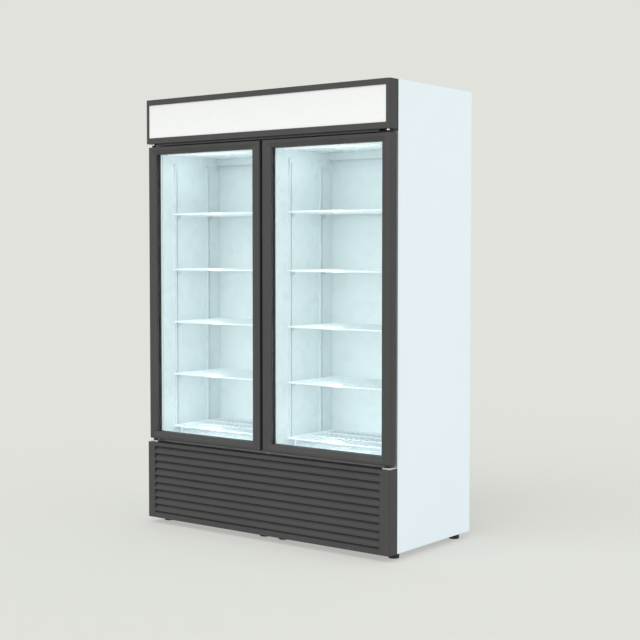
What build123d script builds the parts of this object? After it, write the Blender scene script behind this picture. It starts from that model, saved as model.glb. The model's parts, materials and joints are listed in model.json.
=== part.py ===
"""Two-door glass merchandiser: an upright display refrigerator.

Frame: millimetres, +Z up, origin on the floor under the middle of the cabinet.
The doors face -Y, so -X is the left-hand side as a customer sees it.
Each sub-part is written as its own STEP file in parts/.
"""

import os

from build123d import *

# ---------------------------------------------------------------- overall size
WIDTH = 1400.0
DEPTH = 647.0
HEIGHT = 2010.0
FOOT_HEIGHT = 28.5
SHEET = 0.7

HALF = WIDTH / 2
INNER_HALF = HALF - SHEET
FRONT = -DEPTH / 2
REAR = DEPTH / 2

# ------------------------------------------------------ cabinet front-to-back
FASCIA_DEPTH = 62.9
CABINET_FRONT = FRONT + FASCIA_DEPTH
FACE_FRAME_T = 8.0
REAR_RECESS = 2.5
REAR_SKIN = REAR - REAR_RECESS - SHEET
DUCT_FACE = 146.0
LINER_REAR = 274.0

# ----------------------------------------------------------- cabinet heights
GRILLE_TOP = 387.8
HEADER_BOTTOM = 1804.7
HINGE_PLATE_T = 4.0
MACHINE_DECK_TOP = 375.0
FLOOR_TOP = 423.0
CEILING = 1755.0
UPPER_DECK_TOP = HEADER_BOTTOM - HINGE_PLATE_T
BOX_TOP = UPPER_DECK_TOP - SHEET
FACE_FRAME_BOTTOM = 330.0

# ------------------------------------------------------------------- feet
FOOT_X = (-655.0, -55.0, 55.0, 655.0)
FOOT_Y = (-220.0, 263.0)
FOOT_R = 23.5

# ------------------------------------------------------------ storage bays
LINER_HALF = 652.0
PARTITION_HALF = 52.0
PARTITION_SKIN = 2.5
BAY_CENTRE = (LINER_HALF + PARTITION_HALF) / 2

# -------------------------------------------------------------------- doors
DOOR_OUTER = 696.8
DOOR_INNER = 7.3
DOOR_BOTTOM = 405.5
DOOR_TOP = 1788.3
DOOR_FRONT = FRONT + 10.1
DOOR_T = 42.0
DOOR_REAR = DOOR_FRONT + DOOR_T
STILE = 46.3
RAIL_TOP = 33.6
RAIL_BOTTOM = 35.1
BEVEL_WIDTH = 21.5
BEVEL_DEPTH = 7.0
GLASS_SETBACK = 22.0
PANE_T = 4.0
SPACER_T = 10.0
GLASS_EDGE = 8.0
GASKET_GAP = 0.3

SIGHT_X0 = DOOR_INNER + STILE
SIGHT_X1 = DOOR_OUTER - STILE
SIGHT_Z0 = DOOR_BOTTOM + RAIL_BOTTOM
SIGHT_Z1 = DOOR_TOP - RAIL_TOP

# ------------------------------------------------------------------- hinges
HINGE_X = 673.3
HINGE_Y = DOOR_FRONT + 18.0
PIN_R = 5.0
RUNNING = 0.05
BUSH_R = 8.0
COLLAR_R = 9.0
COLLAR_T = 10.3
SHOULDER_R = 8.5
SHOULDER_T = 5.7
BUSH_DEPTH = 22.0
PIN_LENGTH = 28.0
LOWER_PLATE_BOTTOM = 389.0
LOWER_PLATE_T = 6.0

# ------------------------------------------------------------------ shelves
SLOT_PITCH = 12.5
BASE_RACK_Z = 459.5
SHELF_LEVELS = [BASE_RACK_Z + SLOT_PITCH * steps for steps in (20, 40, 60, 81)]
SHELF_FRONT = -220.0
SHELF_REAR = 128.0
SHELF_WIDTH = 560.0
FRAME_WIRE_R = 3.5
DECK_WIRE_R = 1.8
CROSS_WIRE_R = 2.5
DECK_WIRES = 19
STANDARD_Y = (-171.0, 57.0)
STANDARD_W = 25.0
STANDARD_D = 9.0
STANDARD_Z0 = 443.0
STANDARD_Z1 = 1712.0
CLIP_TAB_DROP = 10.0

# ---------------------------------------------------------------- louvres
LOUVRE_COUNT = 10
LOUVRE_PITCH = 34.55
LOUVRE_FIRST = 56.5
LOUVRE_GAP = 8.0
LOUVRE_HALF = 652.0
LOUVRE_LIP = 9.0
LOUVRE_SET_IN = 17.0
LOUVRE_GAUGE = 2.2

# ------------------------------------------------------------------- header
SIGN_BORDER = 19.8
SIGN_Z0 = 1830.9
SIGN_Z1 = 1984.7
SIGN_RECESS = 4.2
SIGN_T = 3.0
LED_X0 = 84.0
LED_X1 = 620.0
LED_T = 7.0
FASCIA_WALL = 3.0
HEADER_GAP = 5.0
SPIGOT_INSET = 6.0
RIB_HALF = 640.0
RIB_Y = FRONT + 8.0
RIB_Z0 = 1794.0
RIB_Z1 = 1799.0
CORNER_R = 12.0

# ------------------------------------------------------- refrigeration parts
PAN_T = 1.5
PAN_TOP = FOOT_HEIGHT + PAN_T
FAN_X = -390.0
FAN_Z = 190.0
COIL_HALF = 210.0
COIL_FRONT = -235.0
COIL_REAR = -175.0
COIL_ROW_IN = 18.0
EVAPORATOR_HALF = 450.0
EVAPORATOR_Y0 = DUCT_FACE + 22
EVAPORATOR_Y1 = LINER_REAR - 16
EVAPORATOR_ROW_IN = 22.0
FAN_DECK_Z = 780.0
DEFLECTOR_REACH = 18.0
EVAPORATOR_FAN_X = 330.0
EVAPORATOR_FAN_Y = 211.0
COMPRESSOR_X = 330.0
COMPRESSOR_Y = 60.0
CAN_R = 88.0
SUCTION_Y = 236.0
SUCTION_R = 6.0
DISCHARGE_R = 4.0
LIQUID_R = 2.5
LIQUID_X = 319.0
PASSAGE_R = 16.0
TUBE_END = 12.0
TUBE_LOW_Z = 80.0
EVAPORATOR_LOW_Z = 520.0
CONTROL_X0 = 430.0
CONTROL_X1 = 640.0
CONTROL_Y0 = 205.0
CONTROL_Y1 = 314.0
CONTROL_Z0 = 233.8
SWITCH_X = 480.0
SWITCH_Y = CONTROL_Y1 - 3.5
SWITCH_Z = 300.0
SWITCH_PIVOT_R = 1.8
GLAND_X = 580.0
GLAND_Z = 290.0

NODES = {}


def block(x0, x1, y0, y1, z0, z1):
    """Axis-aligned box between two corners."""
    centre = Pos((x0 + x1) / 2, (y0 + y1) / 2, (z0 + z1) / 2)
    return centre * Box(abs(x1 - x0), abs(y1 - y0), abs(z1 - z0))


def rod_x(x0, x1, y, z, radius):
    """Round bar along X."""
    return Pos((x0 + x1) / 2, y, z) * Rot(0, 90, 0) * Cylinder(radius, abs(x1 - x0))


def rod_y(x, y0, y1, z, radius):
    """Round bar along Y."""
    return Pos(x, (y0 + y1) / 2, z) * Rot(90, 0, 0) * Cylinder(radius, abs(y1 - y0))


def rod_z(x, y, z0, z1, radius):
    """Round bar along Z."""
    return Pos(x, y, (z0 + z1) / 2) * Cylinder(radius, abs(z1 - z0))


def ring_y(x_in, x_out, z_in, z_out, y0, y1):
    """Rectangular ring in the XZ plane: x_in, x_out, z_in and z_out are (low, high) pairs."""
    outer = block(x_out[0], x_out[1], y0, y1, z_out[0], z_out[1])
    return outer - block(x_in[0], x_in[1], y0 - 1, y1 + 1, z_in[0], z_in[1])


def group(solids):
    """Several separate solids that share one node."""
    return Compound(children=list(solids))


def mirrored(shape):
    """The same piece on the other side of the cabinet."""
    return mirror(shape, Plane.YZ)


def vertical_edges_at(shape, x, y):
    """Edges parallel to Z that stand at the given X and Y."""
    picked = shape.edges().filter_by(Axis.Z)
    return [e for e in picked if abs(e.center().X - x) < 0.01 and abs(e.center().Y - y) < 0.01]


# ================================================================== cabinet
def side_panel():
    """White outer skin of one side, with its folded rear edge."""
    skin = block(INNER_HALF, HALF, CABINET_FRONT, REAR, FOOT_HEIGHT, HEIGHT)
    fold = block(INNER_HALF - 14, INNER_HALF, REAR - SHEET, REAR, FOOT_HEIGHT, HEIGHT)
    return skin + fold


def rear_panel():
    """Rear skin of the insulated box and canopy."""
    panel = block(-INNER_HALF, INNER_HALF, REAR_SKIN, REAR_SKIN + SHEET, MACHINE_DECK_TOP, HEIGHT - SHEET)
    return panel - group(rear_screw_shanks(2.1))


def roof_panel():
    """Flat roof that closes the canopy over the insulated box."""
    return block(-INNER_HALF, INNER_HALF, CABINET_FRONT, REAR_SKIN + SHEET, HEIGHT - SHEET, HEIGHT)


def rear_screw_places():
    """X and Z of the rear panel's screws: two columns and one middle pair."""
    edges = [(x, z) for x in (-660.0, 660.0) for z in (450.0, 850.0, 1250.0, 1650.0, 1780.0)]
    return edges + [(0.0, 450.0), (0.0, 1780.0)]


def rear_screw_shanks(radius):
    """Shanks, or the holes for them, through the rear panel into the foam."""
    depth = REAR_SKIN - 12
    return [rod_y(x, depth, REAR_SKIN + SHEET, z, radius) for x, z in rear_screw_places()]


def insulation_core():
    """Foamed-in-place insulation between the skins and the liner."""
    front = CABINET_FRONT + FACE_FRAME_T
    foam = block(-INNER_HALF, INNER_HALF, front, REAR_SKIN, MACHINE_DECK_TOP, BOX_TOP)
    liner = LINER_HALF + SHEET
    foam -= block(-liner, liner, CABINET_FRONT, LINER_REAR + SHEET, FLOOR_TOP - SHEET, CEILING + SHEET)
    foam -= group(rear_screw_shanks(2.1))
    foam -= group(upper_screw_shanks(3.1))
    return foam - floor_passage()


def liner_panels():
    """White inner liner: two sides, back, ceiling and floor sheets."""
    z0 = FLOOR_TOP - SHEET
    z1 = CEILING + SHEET
    side = block(LINER_HALF, LINER_HALF + SHEET, CABINET_FRONT, LINER_REAR + SHEET, z0, z1)
    back = block(-LINER_HALF, LINER_HALF, LINER_REAR, LINER_REAR + SHEET, z0, z1)
    ceiling = block(-LINER_HALF, LINER_HALF, CABINET_FRONT, LINER_REAR, CEILING, z1)
    floor = block(-LINER_HALF, LINER_HALF, CABINET_FRONT, LINER_REAR, z0, FLOOR_TOP)
    floor -= floor_passage()
    return group([side, mirrored(side), back, ceiling, floor])


def face_frame():
    """Front frame of the insulated box, which the door gaskets close on."""
    liner = LINER_HALF + SHEET
    return ring_y(
        (-liner, liner),
        (-INNER_HALF, INNER_HALF),
        (FLOOR_TOP - SHEET, CEILING + SHEET),
        (FACE_FRAME_BOTTOM, BOX_TOP),
        CABINET_FRONT,
        CABINET_FRONT + FACE_FRAME_T,
    )


def centre_partition():
    """White hollow wall between the two bays; its front edge is the mullion."""
    wall = block(-PARTITION_HALF, PARTITION_HALF, CABINET_FRONT, DUCT_FACE, FLOOR_TOP, CEILING)
    nose = vertical_edges_at(wall, PARTITION_HALF, CABINET_FRONT)
    nose += vertical_edges_at(wall, -PARTITION_HALF, CABINET_FRONT)
    wall = fillet(nose, 2.0)
    skin = PARTITION_SKIN
    inner = PARTITION_HALF - skin
    return wall - block(-inner, inner, CABINET_FRONT + skin, DUCT_FACE, FLOOR_TOP + skin, CEILING - skin)


def upper_deck():
    """Steel plate over the insulated box that carries the upper hinge plates."""
    deck = block(-INNER_HALF, INNER_HALF, CABINET_FRONT, REAR_SKIN, BOX_TOP, UPPER_DECK_TOP)
    return deck - group(upper_screw_shanks(3.1))


def machine_deck():
    """Steel plate under the insulated box, over the machine compartment."""
    front = CABINET_FRONT + FACE_FRAME_T
    deck = block(-INNER_HALF, INNER_HALF, front, REAR_SKIN, MACHINE_DECK_TOP - SHEET, MACHINE_DECK_TOP)
    return deck - floor_passage()


def corner_posts():
    """Four angle posts that carry the insulated box on the base pan."""
    flange = 30.0
    gauge = 3.0
    z1 = MACHINE_DECK_TOP - SHEET
    posts = []
    for y, inward in ((CABINET_FRONT + FACE_FRAME_T, 1), (REAR_SKIN, -1)):
        along_side = block(INNER_HALF - gauge, INNER_HALF, y, y + inward * flange, PAN_TOP, z1)
        across = block(INNER_HALF - flange, INNER_HALF, y, y + inward * gauge, PAN_TOP, z1)
        posts.append(along_side + across)
    return group(posts + [mirrored(p) for p in posts])


def base_pan():
    """Pressed floor of the machine compartment with turned-up front and rear edges."""
    y0 = CABINET_FRONT + 0.5
    y1 = REAR_SKIN
    pan = block(-INNER_HALF, INNER_HALF, y0, y1, FOOT_HEIGHT, PAN_TOP)
    for y in (y0, y1 - PAN_T):
        lip = block(-INNER_HALF + 35, INNER_HALF - 35, y, y + PAN_T, FOOT_HEIGHT, FOOT_HEIGHT + 26)
        pan += lip
    return pan


def levelling_feet():
    """Eight screw feet: four at the corners and four beside the middle."""
    body_top = FOOT_HEIGHT - 4
    feet = []
    for x in FOOT_X:
        for y in FOOT_Y:
            body = rod_z(x, y, 0, body_top, FOOT_R)
            body = chamfer(body.edges().group_by(Axis.Z)[-1], 3.0)
            body = fillet(body.edges().group_by(Axis.Z)[0], 1.5)
            feet.append(body + rod_z(x, y, body_top - 1, FOOT_HEIGHT, 8))
    return group(feet)


# ================================================================= shelving
def wire_deck(z):
    """Plastic-coated wire shelf, centred on X = 0, with its frame wire at height z."""
    half = SHELF_WIDTH / 2 - FRAME_WIRE_R
    depth = SHELF_REAR - SHELF_FRONT
    loop = RectangleRounded(2 * half, depth, 14).face().outer_wire()
    section = Plane(origin=loop @ 0, z_dir=loop % 0) * Circle(FRAME_WIRE_R)
    frame = Pos(0, (SHELF_FRONT + SHELF_REAR) / 2, z) * sweep(section, path=loop)
    deck_z = z + FRAME_WIRE_R + DECK_WIRE_R - 0.6
    pitch = 2 * half / (DECK_WIRES + 1)
    wires = [
        rod_y(-half + pitch * (i + 1), SHELF_FRONT, SHELF_REAR, deck_z, DECK_WIRE_R)
        for i in range(DECK_WIRES)
    ]
    cross_z = deck_z - DECK_WIRE_R - CROSS_WIRE_R + 0.5
    wires += [rod_x(-half, half, y, cross_z, CROSS_WIRE_R) for y in (-92.0, 22.0)]
    return frame.fuse(*wires)


def base_rack():
    """Floor rack: the same wire deck on four short legs."""
    rack = wire_deck(BASE_RACK_Z)
    half = SHELF_WIDTH / 2 - FRAME_WIRE_R
    legs = [
        rod_z(x, y, FLOOR_TOP, BASE_RACK_Z, FRAME_WIRE_R)
        for x in (-half, half)
        for y in (SHELF_FRONT + 60, SHELF_REAR - 60)
    ]
    return rack.fuse(*legs)


def shelf_standards():
    """Eight slotted channels, two on each wall of each bay."""
    gauge = 1.5
    length = STANDARD_Z1 - STANDARD_Z0
    slots = int(length / SLOT_PITCH) - 1
    first = BASE_RACK_Z - CLIP_TAB_DROP - STANDARD_Z0
    middle = first + SLOT_PITCH * (slots - 1) / 2 - length / 2
    face = Rectangle(STANDARD_W, length)
    face -= Pos(0, middle) * GridLocations(1, SLOT_PITCH, 1, slots) * Rectangle(6, 8)
    web = Pos(0, 0, STANDARD_D - gauge) * extrude(face, gauge)
    flange = Pos((STANDARD_W - gauge) / 2, 0, STANDARD_D / 2) * Box(gauge, length, STANDARD_D)
    channel = web + flange + mirror(flange, Plane.YZ)
    standards = []
    for wall_x, inward in ((LINER_HALF, -1), (PARTITION_HALF, 1)):
        for side in (-1, 1):
            for y in STANDARD_Y:
                plane = Plane(
                    origin=(side * wall_x, y, (STANDARD_Z0 + STANDARD_Z1) / 2),
                    x_dir=(0, side * inward, 0),
                    z_dir=(side * inward, 0, 0),
                )
                standards.append(plane * channel)
    return group(standards)


def shelf_clips():
    """Steel clips hooked in the standards: four under each shelf."""
    clips = []
    for wall_x, inward in ((LINER_HALF, -1), (PARTITION_HALF, 1)):
        for side in (-1, 1):
            for y in STANDARD_Y:
                for z in SHELF_LEVELS:
                    clips.append(clip(side * wall_x, side * inward, y, z))
    return group(clips)


def clip(wall_x, inward, y, z):
    """One clip: a tongue in the slot and a seat under the shelf's frame wire."""
    top = z - FRAME_WIRE_R
    face_x = wall_x + inward * STANDARD_D
    seat = block(face_x, face_x + inward * 21, y - 2, y + 2, top - 14, top)
    tab_z = z - CLIP_TAB_DROP
    tongue = block(face_x - inward * 4, face_x, y - 2, y + 2, tab_z - 3, tab_z + 3)
    return seat + tongue


# =================================================================== header
def fascia_shell(z0, z1):
    """Hollow front moulding with rounded outer corners, open at the back."""
    shell = block(-HALF, HALF, FRONT, CABINET_FRONT, z0, z1)
    corners = vertical_edges_at(shell, HALF, FRONT) + vertical_edges_at(shell, -HALF, FRONT)
    shell = fillet(corners, CORNER_R)
    inner = HALF - FASCIA_WALL
    cavity = block(-inner, inner, FRONT + SIGN_RECESS, CABINET_FRONT, z0 + FASCIA_WALL, z1 - FASCIA_WALL)
    corners = vertical_edges_at(cavity, inner, FRONT + SIGN_RECESS)
    corners += vertical_edges_at(cavity, -inner, FRONT + SIGN_RECESS)
    return shell - fillet(corners, CORNER_R - FASCIA_WALL)


def header_frame():
    """Dark frame round the lit sign: a shadow gap at the cabinet and a rain lip over the doors."""
    gap_y = CABINET_FRONT - HEADER_GAP
    shell = fascia_shell(HEADER_BOTTOM, HEIGHT)
    shell -= block(-HALF, HALF, gap_y, CABINET_FRONT, HEADER_BOTTOM, HEIGHT)
    shell += header_ring(FASCIA_WALL - 1, gap_y - FASCIA_WALL, gap_y)
    shell += header_ring(SPIGOT_INSET, gap_y - FASCIA_WALL, CABINET_FRONT)
    shell += block(-RIB_HALF, RIB_HALF, RIB_Y, RIB_Y + 5, RIB_Z0, RIB_Z1)
    shell += block(-RIB_HALF, RIB_HALF, RIB_Y + 4, RIB_Y + 6, RIB_Z0, HEADER_BOTTOM + 1)
    half = HALF - SIGN_BORDER
    window = block(-half, half, FRONT - 1, FRONT + SIGN_RECESS + 1, SIGN_Z0, SIGN_Z1)
    window = fillet(window.edges().filter_by(Axis.Y), 3.0)
    return shell - window


def header_ring(inset, y0, y1):
    """Rectangular rim of the header, inset from its outside and ending on the spigot's inside."""
    rim = SPIGOT_INSET + FASCIA_WALL
    return ring_y(
        (rim - HALF, HALF - rim),
        (inset - HALF, HALF - inset),
        (HEADER_BOTTOM + rim, HEIGHT - rim),
        (HEADER_BOTTOM + inset, HEIGHT - inset),
        y0,
        y1,
    )


def sign_panel():
    """Opal acrylic sign sheet, seated behind the header frame's lip."""
    half = HALF - SIGN_BORDER + 6
    y0 = FRONT + SIGN_RECESS
    return block(-half, half, y0, y0 + SIGN_T, SIGN_Z0 - 8, SIGN_Z1 + 8)


def light_box_back():
    """White reflector plate that closes the light box, inside the header's spigot."""
    rim = SPIGOT_INSET + FASCIA_WALL
    y1 = CABINET_FRONT - 1.0
    return block(rim - HALF, HALF - rim, y1 - 2, y1, HEADER_BOTTOM + rim, HEIGHT - rim)


def sign_led_bars():
    """Two rigid LED bars on the reflector plate."""
    y1 = CABINET_FRONT - 3.0
    return group([block(-640, 640, y1 - 3, y1, z - 7, z + 7) for z in (1868.0, 1948.0)])


def led_driver():
    """Power supply of the lights, on the upper deck inside the canopy."""
    case = block(-95, 95, -190, -138, UPPER_DECK_TOP, UPPER_DECK_TOP + 34)
    return chamfer(case.edges().filter_by(Axis.Z), 4)


def interior_led_strips():
    """One light strip per bay, under the front edge of the ceiling."""
    y0 = CABINET_FRONT + 4
    strip = block(LED_X0, LED_X1, y0, y0 + 14, CEILING - LED_T, CEILING)
    return group([strip, mirrored(strip)])


# =================================================================== grille
def louvre_grille():
    """Lower front cover with ten full-width louvre slots."""
    shell = fascia_shell(FOOT_HEIGHT, GRILLE_TOP)
    notch_y = CABINET_FRONT - LOWER_PLATE_T - 0.5
    shell -= block(-HALF + 4, HALF - 4, notch_y, CABINET_FRONT + 1, GRILLE_TOP - 4, GRILLE_TOP + 1)
    z0 = LOUVRE_FIRST - LOUVRE_GAP / 2
    z1 = LOUVRE_FIRST + LOUVRE_PITCH * (LOUVRE_COUNT - 1) + LOUVRE_GAP / 2
    shell -= block(-LOUVRE_HALF, LOUVRE_HALF, FRONT - 1, FRONT + SIGN_RECESS + 1, z0, z1)
    slats = [louvre_slat(LOUVRE_FIRST + LOUVRE_PITCH * i) for i in range(LOUVRE_COUNT - 1)]
    cheek = block(LOUVRE_HALF, LOUVRE_HALF + 3, FRONT + SIGN_RECESS - 1, FRONT + 21, z0 - 4, z1 + 4)
    return shell.fuse(cheek, mirrored(cheek), lowest_backing(z0), *slats)


def slat_bar(outline):
    """Bar across the whole louvre field with the given (y, z) outline."""
    slat_half = LOUVRE_HALF + 1.5
    section = Plane.YZ * make_face(Polyline(*outline, close=True))
    return Pos(-slat_half, 0, 0) * extrude(section, 2 * slat_half, dir=(1, 0, 0))


def louvre_slat(slot_z):
    """One slat: an upright lip over a slot, then a slope back behind the slat above."""
    low_z = slot_z + LOUVRE_GAP / 2
    knee_z = low_z + LOUVRE_LIP
    top_z = low_z + LOUVRE_PITCH - 1.0
    lip_y = FRONT + 0.6
    top_y = lip_y + LOUVRE_SET_IN
    gauge = LOUVRE_GAUGE
    return slat_bar(
        [
            (lip_y, low_z),
            (lip_y + gauge, low_z),
            (lip_y + gauge, knee_z - 0.6),
            (top_y + gauge, top_z - 0.6),
            (top_y, top_z),
            (lip_y, knee_z),
        ]
    )


def lowest_backing(edge_z):
    """Sloping strip behind the lowest slot, from the lower border up."""
    start_y = FRONT + SIGN_RECESS - 0.5
    top_y = FRONT + LOUVRE_SET_IN
    top_z = edge_z + LOUVRE_GAP + 1.0
    gauge = LOUVRE_GAUGE
    return slat_bar([(start_y, edge_z - 4), (start_y, edge_z), (top_y, top_z), (top_y, top_z - gauge - 2)])


# =================================================================== hinges
def upper_screw_places():
    """X and Y of the screws that hold the upper hinge plates down."""
    return [(side * x, y) for side in (-1, 1) for x in (656.0, 680.0) for y in (-236.0, -200.0)]


def upper_screw_shanks(radius):
    """Shanks, or the holes for them, through plate and deck into the foam."""
    return [rod_z(x, y, BOX_TOP - 14, HEADER_BOTTOM, radius) for x, y in upper_screw_places()]


def lower_screw_places():
    """X and Z of the screws that hold the lower hinge plates to the face frame."""
    return [(side * x, z) for side in (-1, 1) for x in (660.0, 684.0) for z in (362.0,)]


def lower_screw_shanks(radius):
    """Shanks, or the holes for them, through the lower plate's flange."""
    y0 = CABINET_FRONT - LOWER_PLATE_T
    return [rod_y(x, y0, CABINET_FRONT, z, radius) for x, z in lower_screw_places()]


def top_hinge_brackets():
    """Flat plates on the upper deck whose notched front ends hold the pins' shoulders."""
    plate = block(647, 692, HINGE_Y, -180, UPPER_DECK_TOP, HEADER_BOTTOM)
    nose = vertical_edges_at(plate, 647, HINGE_Y) + vertical_edges_at(plate, 692, HINGE_Y)
    plate = fillet(nose, 9) - rod_z(HINGE_X, HINGE_Y, UPPER_DECK_TOP - 1, HEADER_BOTTOM + 1, SHOULDER_R)
    pair = [plate, mirrored(plate)]
    return group([p - group(upper_screw_shanks(3.1)) for p in pair])


def bottom_hinge_brackets():
    """Zinc-plated angle plates under the doors, screwed to the face frame."""
    front_y = HINGE_Y - 13
    top = LOWER_PLATE_BOTTOM + LOWER_PLATE_T
    plate = block(650, 695, front_y, CABINET_FRONT, LOWER_PLATE_BOTTOM, top)
    nose = vertical_edges_at(plate, 650, front_y) + vertical_edges_at(plate, 695, front_y)
    plate = fillet(nose, 8) - rod_z(HINGE_X, HINGE_Y, LOWER_PLATE_BOTTOM - 1, top + 1, PIN_R)
    flange = block(650, 695, CABINET_FRONT - LOWER_PLATE_T, CABINET_FRONT, 346, LOWER_PLATE_BOTTOM)
    angle = plate + flange
    pair = [angle, mirrored(angle)]
    return group([p - group(lower_screw_shanks(3.1)) for p in pair])


def hinge_pins():
    """Four steel hinge pins, one riveted in each hinge plate; the upper ones have a shoulder."""
    upper = rod_z(HINGE_X, HINGE_Y, HEADER_BOTTOM - PIN_LENGTH, HEADER_BOTTOM, PIN_R)
    upper += rod_z(HINGE_X, HINGE_Y, HEADER_BOTTOM - SHOULDER_T, HEADER_BOTTOM, SHOULDER_R)
    lower = rod_z(HINGE_X, HINGE_Y, LOWER_PLATE_BOTTOM, LOWER_PLATE_BOTTOM + PIN_LENGTH, PIN_R)
    return group([upper, lower, mirrored(upper), mirrored(lower)])


def cabinet_screws():
    """Screws of the rear panel and of the hinge plates."""
    screws = []
    for (x, z), shank in zip(rear_screw_places(), rear_screw_shanks(2.0)):
        face = REAR_SKIN + SHEET
        screws.append(shank + rod_y(x, face, face + 2.2, z, 4.2))
    for (x, y), shank in zip(upper_screw_places(), upper_screw_shanks(3.0)):
        screws.append(shank + Pos(x, y, HEADER_BOTTOM) * extrude(RegularPolygon(5.8, 6), 4.0))
    for (x, z), shank in zip(lower_screw_places(), lower_screw_shanks(3.0)):
        face = CABINET_FRONT - LOWER_PLATE_T
        screws.append(shank + rod_y(x, face - 3, face, z, 5.5))
    return group(screws)


# ==================================================================== doors
def sight_ring(grow, y0, y1):
    """Solid block over the door's glass opening, grown by grow on every side."""
    return block(SIGHT_X0 - grow, SIGHT_X1 + grow, y0, y1, SIGHT_Z0 - grow, SIGHT_Z1 + grow)


def bevel_cutter():
    """Tapered block that bevels the inner front edge of the door frame."""
    width = SIGHT_X1 - SIGHT_X0
    height = SIGHT_Z1 - SIGHT_Z0
    middle = ((SIGHT_X0 + SIGHT_X1) / 2, (SIGHT_Z0 + SIGHT_Z1) / 2)
    near = Plane(origin=(middle[0], DOOR_FRONT, middle[1]), x_dir=(1, 0, 0), z_dir=(0, -1, 0))
    far = near.offset(-BEVEL_DEPTH)
    mouth = near * Rectangle(width + 2 * BEVEL_WIDTH, height + 2 * BEVEL_WIDTH)
    throat = far * Rectangle(width, height)
    return loft([mouth, throat])


def door_frame():
    """Right-hand door frame: moulded ring with rounded outer edge and bevelled inner edge."""
    frame = block(DOOR_INNER, DOOR_OUTER, DOOR_FRONT, DOOR_REAR, DOOR_BOTTOM, DOOR_TOP)
    frame = fillet(vertical_edges_at(frame, DOOR_OUTER, DOOR_FRONT), CORNER_R)
    frame = fillet(vertical_edges_at(frame, DOOR_INNER, DOOR_FRONT), 4.0)
    frame = fillet(vertical_edges_at(frame, DOOR_OUTER, DOOR_REAR), 3.0)
    low_front = frame.edges().filter_by(Axis.X).group_by(Axis.Y)[0]
    frame = fillet(low_front.sort_by(Axis.Z)[0], 4.0)
    frame -= bevel_cutter()
    frame -= sight_ring(0, DOOR_FRONT + BEVEL_DEPTH - 0.01, DOOR_REAR)
    frame -= sight_ring(GLASS_EDGE, DOOR_FRONT + GLASS_SETBACK, DOOR_REAR)
    frame -= block(DOOR_INNER, DOOR_INNER + 9, DOOR_FRONT + 17, DOOR_FRONT + 33, DOOR_BOTTOM, DOOR_TOP)
    frame -= rod_z(HINGE_X, HINGE_Y, DOOR_TOP - BUSH_DEPTH, DOOR_TOP, BUSH_R)
    return frame - rod_z(HINGE_X, HINGE_Y, DOOR_BOTTOM, DOOR_BOTTOM + BUSH_DEPTH, BUSH_R)


def glass_panes():
    """Two tempered panes of the sealed unit."""
    y0 = DOOR_FRONT + GLASS_SETBACK
    y1 = y0 + PANE_T + SPACER_T
    return group([sight_ring(GLASS_EDGE, y, y + PANE_T) for y in (y0, y1)])


def glass_spacer():
    """Dark warm-edge spacer between the panes, level with the frame's inner edge."""
    y0 = DOOR_FRONT + GLASS_SETBACK + PANE_T
    y1 = y0 + SPACER_T
    return sight_ring(GLASS_EDGE, y0, y1) - sight_ring(0, y0 - 1, y1 + 1)


def door_gasket():
    """White magnetic gasket with the flange that holds the glass unit in."""
    glass_rear = DOOR_FRONT + GLASS_SETBACK + 2 * PANE_T + SPACER_T
    outer = ((34.0, 671.0), (407.5, 1775.0))
    bulb_in = ((51.5, 653.5), (421.5, 1757.5))
    flange = block(*outer[0], DOOR_REAR, DOOR_REAR + 2, *outer[1])
    flange += sight_ring(GLASS_EDGE, glass_rear, DOOR_REAR)
    flange -= sight_ring(0, glass_rear - 1, DOOR_REAR + 3)
    seat = CABINET_FRONT - GASKET_GAP
    bulb = block(*outer[0], DOOR_REAR + 2, seat, *outer[1])
    bulb = fillet(bulb.edges().group_by(Axis.Y)[-1], 2.5)
    bulb -= block(*bulb_in[0], DOOR_REAR + 1, seat + 1, *bulb_in[1])
    return flange + bulb


def hinge_bushes():
    """Flanged bushes at the door's top and bottom hinge corners."""
    bore_top = rod_z(HINGE_X, HINGE_Y, DOOR_TOP - BUSH_DEPTH - 1, HEADER_BOTTOM, PIN_R + RUNNING)
    top = rod_z(HINGE_X, HINGE_Y, DOOR_TOP - BUSH_DEPTH, DOOR_TOP, BUSH_R)
    top += rod_z(HINGE_X, HINGE_Y, DOOR_TOP, DOOR_TOP + COLLAR_T, COLLAR_R)
    plate_top = LOWER_PLATE_BOTTOM + LOWER_PLATE_T
    bore_low = rod_z(HINGE_X, HINGE_Y, plate_top - 1, DOOR_BOTTOM + BUSH_DEPTH + 1, PIN_R + RUNNING)
    low = rod_z(HINGE_X, HINGE_Y, DOOR_BOTTOM, DOOR_BOTTOM + BUSH_DEPTH, BUSH_R)
    low += rod_z(HINGE_X, HINGE_Y, plate_top + 0.2, DOOR_BOTTOM, COLLAR_R)
    return group([top - bore_top, low - bore_low])


# ===================================================== machine compartment
def finned_coil(x0, x1, y0, y1, z0, z1, fins, tube_places, tube_r):
    """Finned heat exchanger: plates across X, tubes along X through them."""
    pitch = (x1 - x0) / (fins - 1)
    plate = Rectangle(y1 - y0, z1 - z0)
    plates = []
    for i in range(fins):
        x = x0 + pitch * i
        gauge = 2.0 if i in (0, fins - 1) else 0.8
        start = x if i < fins - 1 else x - gauge
        plane = Plane(origin=(start, (y0 + y1) / 2, (z0 + z1) / 2), x_dir=(0, 1, 0), z_dir=(1, 0, 0))
        plates.append(extrude(plane * plate, gauge))
    tubes = [rod_x(x0 - TUBE_END, x1 + TUBE_END, y, z, tube_r) for y, z in tube_places]
    bends = []
    for index, (near, far) in enumerate(zip(tube_places, tube_places[1:])):
        x, outward = (x0 - TUBE_END, -1) if index % 2 == 0 else (x1 + TUBE_END, 1)
        bends.append(return_bend(x, outward, near, far, tube_r))
    return plates[0].fuse(*plates[1:], *tubes, *bends)


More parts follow.
